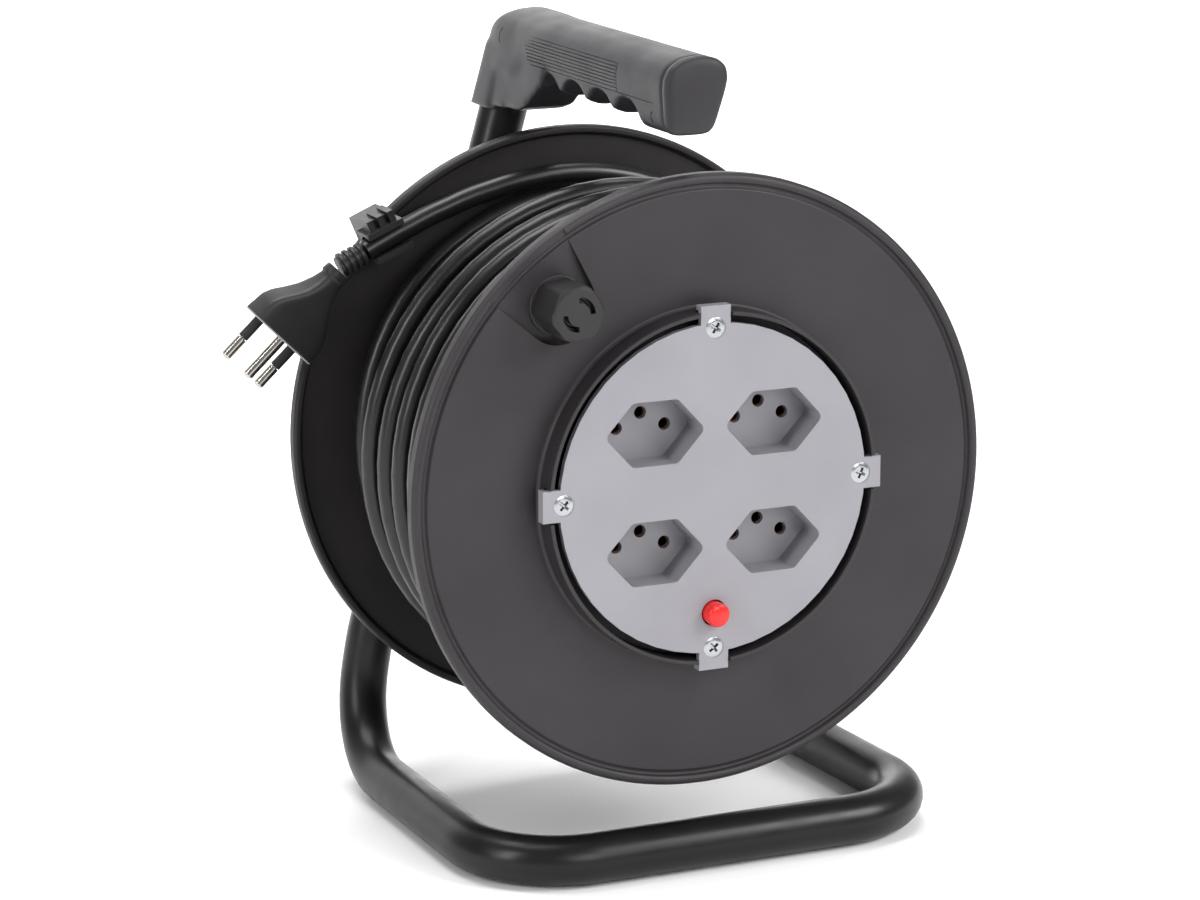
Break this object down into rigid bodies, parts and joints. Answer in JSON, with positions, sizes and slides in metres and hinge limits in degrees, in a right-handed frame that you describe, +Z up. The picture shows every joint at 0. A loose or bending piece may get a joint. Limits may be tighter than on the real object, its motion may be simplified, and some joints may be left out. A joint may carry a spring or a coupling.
{
  "type": "extension cord reel",
  "caption": "Portable mains cable drum that turns on an axle in a bent tube stand with a carrying grip, with a socket panel, a winding knob and its cable wound on.",
  "frame": {"origin": "on the floor, under the middle of the reel's width and depth, the loose cable end and plug left out", "axes": "+X to the right seen from the socket side, +Y from the socket side to the stand's legs, along the drum's axle, +Z up"},
  "size_m": [0.2541, 0.175, 0.297],
  "materials": {
    "painted_tube": "glossy black paint",
    "soft_grip": "satin dark grey soft plastic",
    "black_moulding": "fine matt black moulding",
    "inner_moulding": "matt black moulding",
    "grey_panel": "satin light grey moulding",
    "red_button": "glossy red",
    "natural_nylon": "natural nylon",
    "plated_steel": "bright zinc plating",
    "contact_brass": "bare brass",
    "cable_sheath": "smooth glossy black sheath",
    "plug_rubber": "satin black",
    "pin_nickel": "bright nickel plating"
  },
  "bodies": {
    "frame": {"frame_tube": "painted_tube", "handle_grip": "soft_grip", "grip_end_cap": "soft_grip", "grip_pin": "plated_steel", "axle_bracket": "painted_tube", "bracket_bolt_1": "plated_steel", "bracket_bolt_2": "plated_steel", "bracket_bolt_3": "plated_steel", "bracket_bolt_4": "plated_steel", "bracket_nut_1": "plated_steel", "bracket_nut_2": "plated_steel", "bracket_nut_3": "plated_steel", "bracket_nut_4": "plated_steel", "axle": "plated_steel", "axle_head_washer": "plated_steel", "axle_spacer_washer": "plated_steel", "axle_jam_nut": "plated_steel", "axle_rear_washer": "plated_steel", "axle_rear_nut": "plated_steel"},
    "drum": {"front_flange": "black_moulding", "rear_flange": "black_moulding", "front_bush": "natural_nylon", "rear_bush": "natural_nylon", "drum_screw_1": "plated_steel", "drum_screw_2": "plated_steel", "drum_screw_3": "plated_steel", "drum_screw_4": "plated_steel", "socket_panel": "grey_panel", "panel_screw_1": "plated_steel", "panel_screw_2": "plated_steel", "panel_screw_3": "plated_steel", "panel_screw_4": "plated_steel", "live_rail": "contact_brass", "earth_rail": "contact_brass", "neutral_rail": "contact_brass", "contact_carrier": "inner_moulding", "carrier_screw_1": "plated_steel", "carrier_screw_2": "plated_steel", "carrier_screw_3": "plated_steel", "thermal_cutout": "inner_moulding", "terminal_block": "natural_nylon", "cord_clamp": "natural_nylon", "cable_lead_in": "cable_sheath", "knob_spindle": "black_moulding", "cable_winding": "cable_sheath", "cable_tail": "cable_sheath", "rim_clip": "black_moulding", "strain_relief": "plug_rubber", "plug_body": "plug_rubber", "plug_pin_live": "pin_nickel", "plug_pin_neutral": "pin_nickel", "plug_pin_earth": "pin_nickel", "plug_sleeve_live": "plug_rubber", "plug_sleeve_neutral": "plug_rubber"},
    "knob": {"winding_knob": "black_moulding"},
    "button": {"reset_button": "red_button"}
  },
  "joints": [
    {"name": "drum_spin", "type": "hinge", "parent": "frame", "child": "drum", "pos_m": [0, 0, 0.142], "axis": [0, 1, 0], "range_deg": [-270, 40]},
    {"name": "knob_spin", "type": "hinge", "parent": "drum", "child": "knob", "pos_m": [-0.0563, -0.0785, 0.2116], "axis": [0, 1, 0], "continuous": true},
    {"name": "button_press", "type": "slide", "parent": "drum", "child": "button", "axis": [0, 1, 0], "range_m": [0, 0.0025], "stiffness_N_per_m": 400}
  ]
}
